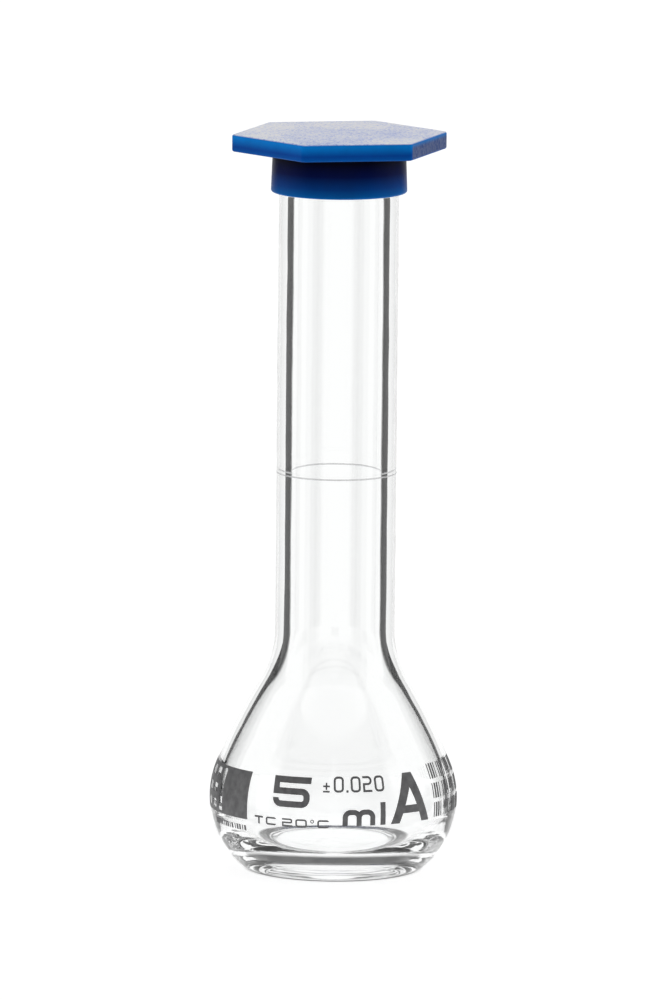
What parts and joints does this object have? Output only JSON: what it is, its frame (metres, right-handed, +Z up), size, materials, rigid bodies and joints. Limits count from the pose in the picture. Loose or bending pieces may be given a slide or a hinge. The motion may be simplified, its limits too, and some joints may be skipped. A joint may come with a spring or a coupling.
{
  "type": "volumetric flask",
  "caption": "Small volumetric flask: pear-shaped glass body on a flat foot, long straight neck with a graduation ring, printed capacity marks and a hexagonal push-on snap cap.",
  "frame": {"origin": "centre of the foot, in the plane that the flask stands on", "axes": "+Z up along the flask's axis, -Y towards the front, where the capacity is printed, +X to the right"},
  "size_m": [0.0228, 0.0228, 0.068],
  "materials": {
    "clear_glass": "clear, fire polished",
    "blue_polyethylene": "moulded, lightly scuffed",
    "ring_enamel": "fired line",
    "grey_enamel": "fired enamel, slightly mottled"
  },
  "bodies": {
    "flask_body": {"flask": "clear_glass", "graduation_ring": "ring_enamel", "capacity_numeral": "grey_enamel", "tolerance_mark": "grey_enamel", "temperature_mark": "grey_enamel", "unit_mark": "grey_enamel", "class_letter": "grey_enamel", "label_panel": "grey_enamel", "lot_bars": "grey_enamel", "type_bars": "grey_enamel"},
    "cap": {"snap_cap": "blue_polyethylene"}
  },
  "joints": [
    {"name": "cap_lift", "type": "slide", "parent": "flask_body", "child": "cap", "axis": [0, 0, 1], "range_m": [0, 0.03]}
  ]
}
